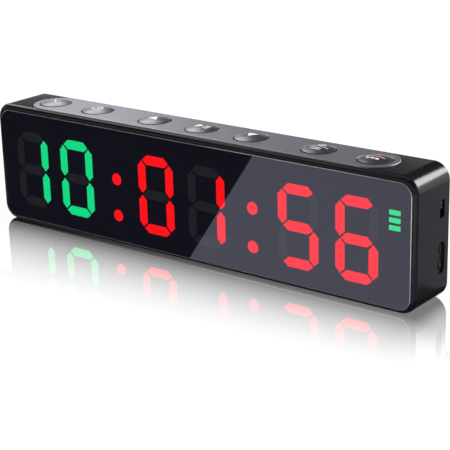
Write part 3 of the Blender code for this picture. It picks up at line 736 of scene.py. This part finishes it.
def stroke(x, y, length, width, turn=0):
    """A flat bar, turned by some degrees."""
    put_down()
    bpy.ops.mesh.primitive_plane_add(
        size=1, location=(x, y, MARK_START), rotation=(0, 0, math.radians(turn))
    )
    piece = bpy.context.object
    piece.scale = (length, width, 1)
    return piece


def arrow(x, y, radius, turn):
    """A flat triangle, turned by some degrees."""
    put_down()
    bpy.ops.mesh.primitive_circle_add(
        vertices=3,
        radius=radius,
        fill_type="NGON",
        location=(x, y, MARK_START),
        rotation=(0, 0, math.radians(turn)),
    )
    return bpy.context.object


def lay_mark(name, parts, cap, finish, key):
    """Joins flat shapes, wraps them over the dome and gives them a little thickness."""
    for part in parts:
        settle(part)
    mark = joined(name, parts)
    mark.data.transform(Matrix.Translation((button_x[key], 0, 0)))
    take(mark)
    bpy.ops.object.mode_set(mode="EDIT")
    bpy.ops.mesh.select_all(action="SELECT")
    bpy.ops.mesh.quads_convert_to_tris()
    bpy.ops.mesh.subdivide(number_cuts=3)
    put_down()
    take(mark)
    wrap = mark.modifiers.new("wrap", "SHRINKWRAP")
    wrap.wrap_method = "PROJECT"
    wrap.use_project_z = True
    wrap.use_negative_direction = True
    wrap.use_positive_direction = False
    wrap.target = cap
    bpy.ops.object.modifier_apply(modifier=wrap.name)
    raise_it = mark.modifiers.new("thickness", "SOLIDIFY")
    raise_it.thickness = 2 * MARK_PROUD
    raise_it.offset = 0
    bpy.ops.object.modifier_apply(modifier=raise_it.name)
    fit(mark, finish, f"{key}_key", "button_gloss")


marks = {
    "clear": lambda: [stroke(0, 0, 3.6 * MM, LINE, 45), stroke(0, 0, 3.6 * MM, LINE, -45)],
    "interval": lambda: [
        ring(0, 0, 1.9 * MM, LINE),
        stroke(0, 0.55 * MM, 1.1 * MM, LINE, 90),
        stroke(0.4 * MM, 0, 1.0 * MM, LINE),
    ],
    "up": lambda: [arrow(0, -0.3 * MM, 2.0 * MM, 0)],
    "start": lambda: [
        arrow(-0.9 * MM, 0, 1.8 * MM, -90),
        stroke(1.5 * MM, 0, 2.8 * MM, LINE, 90),
        stroke(2.4 * MM, 0, 2.8 * MM, LINE, 90),
    ],
    "down": lambda: [arrow(0, 0.3 * MM, 2.0 * MM, 180)],
    "set": lambda: [
        stroke(0, 0, 6.4 * MM, THIN_LINE),
        ring(0, GEAR_Y, GEAR_RADIUS, LINE),
        *(stroke(x, GEAR_Y + y, 0.5 * MM, LINE, turn) for x, y, turn in TEETH),
        stroke(0, -1.3 * MM, 3.2 * MM, LINE),
        stroke(0, -2.2 * MM, 3.2 * MM, LINE),
    ],
    "mode": lambda: [
        stroke(0, 0, 6.4 * MM, THIN_LINE),
        *(stroke(x * MM, -1.6 * MM, 1.1 * MM, 0.9 * MM) for x in (-1.5, 0, 1.5)),
    ],
}
for name in BUTTONS:
    cap = key_cap(name)
    fit(cap, gloss_key, f"{name}_key", "button_gloss", f"{name}_button")
    lay_mark(f"{name}_mark", marks[name](), cap, pale_mark, name)
    if name == "mode":
        power = [
            ring(0, POWER_Y, 1.0 * MM, LINE),
            stroke(0, POWER_Y + 0.7 * MM, 1.2 * MM, LINE, 90),
        ]
        lay_mark("power_mark", power, cap, red_mark, name)


# --- Key switches, button board and ribbon -----------------------------------------------------
# A tactile switch under each key, soldered to a narrow board that two screws hold to posts. A
# flat ribbon takes the keys' lines down to the display board.
switch_black = Finish("switch_black", roughness=0.5, ior=1.5)
switch_black.tones(0.8 * MM, (0.012, 0.012, 0.013), (0.03, 0.03, 0.032))
switch_black.grain(switch_black.noise(0.2 * MM, 2), 0.008 * MM)
nylon = Finish("white_nylon", roughness=0.5, ior=1.53)
nylon.tones(1.5 * MM, (0.62, 0.61, 0.56), (0.76, 0.75, 0.70))
nylon.grain(nylon.noise(0.3 * MM, 2), 0.006 * MM)
steel = Finish("zinc_steel", metallic=1.0)
steel.tones(0.7 * MM, (0.42, 0.42, 0.43), (0.60, 0.60, 0.62), 4)
steel.give("Roughness", 0.24 + steel.noise(0.4 * MM, 4) * 0.16)
steel.grain(steel.noise(0.15 * MM, 2), 0.004 * MM)
refinish(switch_black, *(f"{name}_switch_body" for name in BUTTONS))
refinish(nylon, *(f"{name}_switch_stem" for name in BUTTONS))
refinish(nylon, "button_ribbon")
refinish(steel, "button_board_screw_1", "button_board_screw_2")


# --- Power board, charging socket and power switch ---------------------------------------------
# A small board behind the right end carries a charging socket with a drawn steel shell, and a
# slide switch whose knob stands in its slot in the end wall. A pin header joins it to the display.
nickel = Finish("nickel", metallic=1.0)
nickel.tones(1.2 * MM, (0.55, 0.54, 0.51), (0.66, 0.65, 0.62), 4)
nickel.give("Roughness", 0.18 + nickel.noise(0.5 * MM, 4) * 0.14)
gold = Finish("gold_contact", metallic=1.0)
gold.tones(0.3 * MM, (0.78, 0.52, 0.20), (0.88, 0.62, 0.28))
gold.give("Roughness", 0.2 + gold.noise(0.2 * MM) * 0.15)
refinish(switch_black, "board_header")
refinish(steel, "power_board_screw", "power_switch_body")

SHELL_WALL = 0.3 * MM
SHELL_LIP = 0.08 * MM
TONGUE_TIP = 0.2 * MM
TONGUE_EDGE = 0.08 * MM
shell = stadium("socket_shell", usb_low, usb_high, axis=0, steps=14)
soften(shell, lying_at(0, usb_high.x), SHELL_LIP, 2)
mouth = stadium(
    "mouth",
    (usb_low.x + SHELL_WALL, usb_low.y + SHELL_WALL, usb_low.z + SHELL_WALL),
    (usb_high.x + CUT, usb_high.y - SHELL_WALL, usb_high.z - SHELL_WALL),
    axis=0,
    steps=14,
)
cut(shell, mouth)
fit(shell, nickel, "case", "nickel", "usb_socket_shell")

tongue_low, tongue_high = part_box("usb_socket_tongue")
tongue = block("socket_tongue", tongue_low, tongue_high)
soften(tongue, lying_at(0, tongue_high.x), TONGUE_TIP, 4)
soften(tongue, along(0), TONGUE_EDGE, 2)
fit(tongue, matt_black, "case", "switch_black", "usb_socket_tongue")
CONTACT_COUNT = 12
CONTACT_PITCH = 0.5 * MM
CONTACT_WIDTH = 0.24 * MM
CONTACT_PROUD = 0.02 * MM
CONTACT_INSET = 0.5 * MM
contacts = []
for side in (tongue_low.y, tongue_high.y):
    for number in range(CONTACT_COUNT):
        aside = (number - (CONTACT_COUNT - 1) / 2) * CONTACT_PITCH
        z = (tongue_low.z + tongue_high.z) / 2 + aside
        contact = block(
            "contact",
            (tongue_low.x + CUT, side - CONTACT_PROUD, z - CONTACT_WIDTH / 2),
            (tongue_high.x - CONTACT_INSET, side + CONTACT_PROUD, z + CONTACT_WIDTH / 2),
        )
        soften(contact, lying_at(0, tongue_high.x - CONTACT_INSET), TINY, 1)
        contacts.append(contact)
fit(joined("socket_contacts", contacts), gold, "case", "nickel")

GROOVE = 0.22 * MM
GROOVE_SPACING = 0.484 * MM
KNOB_EDGE = 0.18 * MM
knob_black = Finish("knob_black", roughness=0.6, specular_ior_level=0.15)
knob_black.tones(0.3 * MM, (0.003, 0.003, 0.0035), (0.008, 0.008, 0.009))
knob_black.grain(knob_black.noise(0.15 * MM, 2), 0.008 * MM)
knob = block("switch_knob", knob_low, knob_high)
soften(knob, lying_at(0, knob_high.x), KNOB_EDGE, 3)
for row in (-1, 0, 1):
    z = (knob_low.z + knob_high.z) / 2 + row * GROOVE_SPACING
    groove = block(
        "groove",
        (knob_high.x - GROOVE, knob_low.y - CUT, z - GROOVE / 2),
        (knob_high.x + CUT, knob_high.y + CUT, z + GROOVE / 2),
    )
    cut(knob, groove)
fit(knob, knob_black, "power_slider", "switch_black", "power_switch_knob")


# --- Battery and buzzer ------------------------------------------------------------------------
# A pouch cell in foil, held against the cover by a foam pad, with a red and a black lead to a
# nylon plug on the power board, and a round piezo buzzer behind the sound holes.
foil = Finish("battery_foil", metallic=0.9)
foil.tones(3 * MM, (0.48, 0.49, 0.51), (0.60, 0.61, 0.63), 4)
foil.give("Roughness", 0.3 + foil.noise(0.8 * MM, 4) * 0.15)
foil.grain(foil.noise(2.5 * MM, 3), 0.05 * MM)
foam = Finish("foam", roughness=0.95)
cells = foam.node("ShaderNodeTexVoronoi", None, {"Vector": foam.place(), "Scale": 1 / (0.5 * MM)})
foam.give("Base Color", foam.mix(cells, (0.02, 0.02, 0.02), (0.06, 0.06, 0.06)))
foam.grain(cells, 0.1 * MM)
red_sleeve = Finish("red_sleeve", roughness=0.4)
red_sleeve.tones(1 * MM, (0.5, 0.015, 0.015), (0.65, 0.03, 0.03))
black_sleeve = Finish("black_sleeve", roughness=0.4)
black_sleeve.tones(1 * MM, (0.014, 0.014, 0.014), (0.028, 0.028, 0.028))
refinish(foil, "battery_cell")
refinish(foam, "battery_pad")
refinish(red_sleeve, "battery_lead_red")
refinish(black_sleeve, "battery_lead_black")
refinish(nylon, "battery_plug")
refinish(switch_black, "buzzer")


# --- Rear cover, magnets and screws ------------------------------------------------------------
# A flat cover in textured black ABS closes the back, with four screws into the corner posts, two
# disc magnets pressed into pockets, and a ring of small holes over the buzzer.
grained_black = Finish("grained_black", ior=1.5, specular_ior_level=0.4)
sparks = grained_black.noise(0.18 * MM, 4)
grained_black.give("Base Color", grained_black.mix(sparks, (0.010, 0.010, 0.011), (0.020, 0.020, 0.022)))
grained_black.give("Roughness", 0.48 + sparks * 0.16)
grained_black.grain(sparks, 0.03 * MM)
COVER_THICKNESS = 1.8 * MM
COVER_RADIUS = 2.7 * MM
COVER_EDGE = 0.3 * MM
COUNTERBORE = 2.1 * MM
POCKET_WALL = 1.1 * MM
SOUND_HOLE = 0.8 * MM
SOUND_SPACING = 2.7 * MM
SHANK = 0.9 * MM
THREAD_CORE = 0.66 * MM
THREAD_PITCH = 0.6 * MM
NECK = 0.7 * MM
NECK_HEIGHT = 0.1 * MM
HEAD_HEIGHT = 0.7 * MM
HEAD_EDGE = 0.05 * MM
HEAD_CHAMFER = 0.08 * MM
HEAD_ROUND = [(0.3, 0), (0.12, 0.12), (0.02, 0.4), (0, 0.8)]  # mm down from the top, mm inwards
POINT_LENGTH = 0.5 * MM
POINT_RADIUS = 0.2 * MM
CROSS_LENGTH = 2.0 * MM
CROSS_WIDTH = 0.4 * MM
CROSS_DEPTH = 0.4 * MM
CROSS_START, CROSS_STEP = 20, 17
CUP_OVERLAP = 0.5 * MM
MAGNET_CHAMFER = 0.25 * MM

cover_low, cover_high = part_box("rear_cover")
cover_inner = cover_high.y - COVER_THICKNESS
cover = block("back_cover", (cover_low.x, cover_inner, cover_low.z), cover_high)
soften(cover, along(1), COVER_RADIUS, 10)
soften(cover, lying_at(1, cover_high.y), COVER_EDGE, 4)

for number in (1, 2):
    magnet_low, magnet_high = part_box(f"rear_magnet_{number}")
    middle = (magnet_low + magnet_high) / 2
    radius = (magnet_high.x - magnet_low.x) / 2
    spot = (middle.x, 0, middle.z)
    outer = radius + GAP + POCKET_WALL
    cup = [(cover_low.y, outer), (cover_inner + CUP_OVERLAP, outer)]
    combine(cover, turned("cup", spot, cup, 64, "Y"), "UNION")
    pocket = [
        (magnet_low.y - GAP, radius + GAP),
        (cover_high.y - HOLE_LIP, radius + GAP),
        (cover_high.y + HOLE_LIP, radius + GAP + 2 * HOLE_LIP),
    ]
    cut(cover, turned("pocket", spot, pocket, 64, "Y"))
    disc = [
        (magnet_low.y, radius - MAGNET_CHAMFER),
        (magnet_low.y + MAGNET_CHAMFER, radius),
        (magnet_high.y - MAGNET_CHAMFER, radius),
        (magnet_high.y - MAGNET_CHAMFER / 3, radius - MAGNET_CHAMFER / 3),
        (magnet_high.y, radius - MAGNET_CHAMFER),
    ]
    magnet = turned(f"magnet_{number}", spot, disc, 72, "Y")
    fit(magnet, nickel, "case", "nickel", f"rear_magnet_{number}")

buzzer_low, buzzer_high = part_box("buzzer")
buzzer_x = (buzzer_low.x + buzzer_high.x) / 2
buzzer_z = (buzzer_low.z + buzzer_high.z) / 2
spots = [(0, 0)]
for turn in (i * math.pi / 3 for i in range(6)):
    spots.append((SOUND_SPACING * math.cos(turn), SOUND_SPACING * math.sin(turn)))
for x, z in spots:
    bore = [
        (cover_inner - CUT, SOUND_HOLE),
        (cover_high.y - HOLE_LIP, SOUND_HOLE),
        (cover_high.y + HOLE_LIP, SOUND_HOLE + 2 * HOLE_LIP),
    ]
    cut(cover, turned("bore", (buzzer_x + x, 0, buzzer_z + z), bore, 24, "Y"))

for number in (1, 2, 3, 4):
    node = f"rear_cover_screw_{number}"
    screw_low, screw_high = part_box(node)
    middle = (screw_low + screw_high) / 2
    spot = (middle.x, 0, middle.z)
    head = (screw_high.x - screw_low.x) / 2
    under = screw_high.y - HEAD_HEIGHT
    shaft = SHANK + GAP
    bore = [
        (cover_low.y - CUT, shaft),
        (under - 2 * TINY, shaft),
        (under, COUNTERBORE),
        (cover_high.y - HOLE_LIP, COUNTERBORE),
        (cover_high.y + HOLE_LIP, COUNTERBORE + 2 * HOLE_LIP),
    ]
    cut(cover, turned("bore", spot, bore, 40, "Y"))
    profile = [(screw_low.y, POINT_RADIUS)]
    y = screw_low.y + POINT_LENGTH
    while y < under - THREAD_PITCH:
        profile += [(y, THREAD_CORE), (y + THREAD_PITCH / 2, SHANK)]
        y += THREAD_PITCH
    profile += [
        (under - NECK_HEIGHT, NECK),
        (under, NECK + HEAD_EDGE),
        (under + TINY, head - HEAD_EDGE),
        (under + HEAD_CHAMFER, head),
    ]
    profile += [(screw_high.y - down * MM, head - inwards * MM) for down, inwards in HEAD_ROUND]
    screw = turned(f"cover_screw_{number}", spot, profile, 36, "Y")
    for quarter in (0, 90):
        blade = block(
            "blade",
            (-CROSS_LENGTH / 2, screw_high.y - CROSS_DEPTH, -CROSS_WIDTH / 2),
            (CROSS_LENGTH / 2, screw_high.y + CUT, CROSS_WIDTH / 2),
        )
        blade.rotation_euler = (0, math.radians(CROSS_START + CROSS_STEP * number + quarter), 0)
        blade.location = spot
        settle(blade)
        cut(screw, blade)
    fit(screw, steel, "case", "zinc_steel", node)
fit(cover, grained_black, "case", "cover_black", "rear_cover")


# --- Studio ------------------------------------------------------------------------------------
# A white table that mirrors what stands on it close by, soft boxes from above and behind, and
# cards that only reflections see. The camera looks down on the display from its right.
AZIMUTH = math.radians(38.355)
ELEVATION = math.radians(18.738)
ROLL = math.radians(-1.524)
DISTANCE = 419.0 * MM
TARGET = Vector((7.7, 0.4, 10.6)) * MM
FOCAL_LENGTH = 109.55
CLIP_START = 10 * MM

back = Vector(
    (
        math.sin(AZIMUTH) * math.cos(ELEVATION),
        -math.cos(AZIMUTH) * math.cos(ELEVATION),
        math.sin(ELEVATION),
    )
)
level = Vector((math.cos(AZIMUTH), math.sin(AZIMUTH), 0))
upward = back.cross(level)
right = math.cos(ROLL) * level + math.sin(ROLL) * upward
up = -math.sin(ROLL) * level + math.cos(ROLL) * upward
put_down()
bpy.ops.object.camera_add()
camera = bpy.context.object
stance = Matrix((right, up, back)).transposed().to_4x4()
camera.matrix_world = Matrix.Translation(TARGET + back * DISTANCE) @ stance
camera.data.lens = FOCAL_LENGTH
camera.data.clip_start = CLIP_START
bpy.context.scene.camera = camera

FLOOR_RADIUS = 6.0
FLOOR_DROP = 0.02 * MM
FLOOR_GLOW = 1.05
MIRROR_REACH = 50 * MM
REACH_LOSS = 0.12
MIRROR_STRENGTH = 0.93
STRENGTH_LOSS = 1.4
SHEEN_START = 0.5
SHEEN_RISE = 10.0
put_down()
bpy.ops.mesh.primitive_circle_add(
    vertices=96, radius=FLOOR_RADIUS, fill_type="NGON", location=(0, 0, -FLOOR_DROP)
)
floor = bpy.context.object
floor.name = "floor"
settle(floor)


def at_least(wire, lowest):
    """The value, or the lowest where it is less."""
    return wire.maths("MAXIMUM", wire, lowest)


def at_most(wire, highest):
    """The value, or the highest where it is more."""
    return wire.maths("MINIMUM", wire, highest)


table_top = Finish("table_top", base_color=(0.9, 0.9, 0.9, 1), roughness=0.6)
x, y = table_top.parts()[:2]
box_low, box_high = cad_box
outside_x = at_least(abs(x) - box_high.x, 0.0)
outside_y = at_least(abs(y) - box_high.y, 0.0)
away = (outside_x * outside_x + outside_y * outside_y) ** 0.5
reach = MIRROR_REACH - at_most(x, box_high.x) * REACH_LOSS
fade = at_least(1 - away / reach, 0.0) ** 2.0
white = table_top.node("ShaderNodeEmission", None, {"Color": (1, 1, 1, 1), "Strength": FLOOR_GLOW})
mirror = table_top.node(
    "ShaderNodeBsdfGlossy", None, {"Color": (0.97, 0.97, 0.97, 1), "Roughness": 0.02}
)
slant = table_top.node("ShaderNodeLayerWeight", None, {"Blend": 0.5}, out="Facing")
sheen = at_most(at_least((slant - SHEEN_START) * SHEEN_RISE, 0.0), 1.0)
share = fade * sheen * (MIRROR_STRENGTH - x * STRENGTH_LOSS)
both = table_top.node("ShaderNodeMixShader", None, {0: share, 1: white, 2: mirror})
table_top.feed(table_top.tree.nodes["Material Output"].inputs["Surface"], both)
floor.data.materials.append(table_top.material)
floor.visible_glossy = False
floor.visible_diffuse = False


def card(name, corners, strength, colour=(1, 1, 1)):
    """A flat card that only reflections see, between four corners in millimetres."""
    put_down()
    bpy.ops.mesh.primitive_plane_add(size=1)
    made = bpy.context.object
    made.name = name
    order = (0, 1, 3, 2)
    for vertex, corner in zip(made.data.vertices, (corners[i] for i in order)):
        vertex.co = Vector(corner) * MM
    light = Finish(name)
    shine = light.node("ShaderNodeEmission", None, {"Color": (*colour, 1), "Strength": strength})
    light.feed(light.tree.nodes["Material Output"].inputs["Surface"], shine)
    made.data.materials.append(light.material)
    made.visible_camera = False
    made.visible_diffuse = False
    made.visible_shadow = False


def lying(x, y, z):
    """The corners of a level card, from its span in x, its span in y and its height."""
    return [(x[0], y[0], z), (x[1], y[0], z), (x[1], y[1], z), (x[0], y[1], z)]


def standing(start, end, height):
    """The corners of a card that stands on the table, from one end of its foot to the other."""
    return [(*start, 0), (*end, 0), (*end, height), (*start, height)]


FAR_OUT = 2500
LEFT, RIGHT, FRONT, BACK = -260, 260, -220, 120
SIDE_HEIGHT, FRONT_HEIGHT, BACK_HEIGHT, CORNER_HEIGHT = 110, 130, 72, 90
CORNER_END = -215
NEAR, FAR, OUTER = -13, -600, 900
DIAGONAL_START, DIAGONAL_END = -2.6, -302.8
dark_half = [(-OUTER, NEAR), (DIAGONAL_START, NEAR), (DIAGONAL_END, FAR), (-OUTER, FAR)]
bright_half = [(DIAGONAL_START, NEAR), (OUTER, NEAR), (OUTER, FAR), (DIAGONAL_END, FAR)]
card("ground", lying((-FAR_OUT, FAR_OUT), (-FAR_OUT, FAR_OUT), -2), 0.5, (1, 1, 1.1))
card("dark_card", [(x, y, -1) for x, y in dark_half], 0.02, (1, 1, 1.2))
card("front_card", [(x, y, -1) for x, y in bright_half], 1.18, (1, 1, 1.3))
card("shade_card", lying((78, 92), (-14, 16), -1), 0.0)
card("over_card", lying((-170, -75), (-200, -40), 250), 2.4)
card("edge_card", lying((90, RIGHT), (-140, -35), -0.5), 2.4)
card("corner_wall", standing((LEFT, BACK - 1), (CORNER_END, BACK - 1), CORNER_HEIGHT), 1.0)
card("under_card", lying((-80, 78), (-9.6, 9), -0.5), 0.12)
card("back_wall", standing((LEFT, BACK), (RIGHT, BACK), BACK_HEIGHT), 1.0)
card("front_wall", standing((LEFT, FRONT), (RIGHT, FRONT), FRONT_HEIGHT), 1.0)
card("left_wall", standing((LEFT, FRONT), (LEFT, BACK), SIDE_HEIGHT), 1.0)
card("right_wall", standing((RIGHT, FRONT), (RIGHT, BACK), SIDE_HEIGHT), 1.0)


def soft_box(name, place, aim, size, power):
    """A rectangular lamp in millimetres and watts, turned to the point that it lights."""
    put_down()
    bpy.ops.object.light_add(type="AREA", location=Vector(place) * MM)
    lamp = bpy.context.object
    lamp.name = name
    lamp.data.shape = "RECTANGLE"
    lamp.data.size = size[0] * MM
    lamp.data.size_y = size[1] * MM
    lamp.data.energy = power
    lamp.rotation_euler = (Vector(aim) * MM - Vector(place) * MM).to_track_quat("-Z", "Y").to_euler()
    lamp.visible_camera = False


soft_box("left_box", (-215, 72, 228), (-50, 0, 40), (250, 170), 0.88)
soft_box("corner_box", (322, 358, 160), (78, 0, 36), (270, 360), 6.4)
soft_box("top_box", (0, -60, 500), (0, 0, 20), (400, 300), 0.55)

world = bpy.data.worlds.new("studio")
world.use_nodes = True
world.node_tree.nodes["Background"].inputs["Color"].default_value = (1, 1, 1, 1)
world.node_tree.nodes["Background"].inputs["Strength"].default_value = 1.0
bpy.context.scene.world = world
world.cycles_visibility.glossy = False
bpy.context.scene.view_settings.view_transform = "Standard"
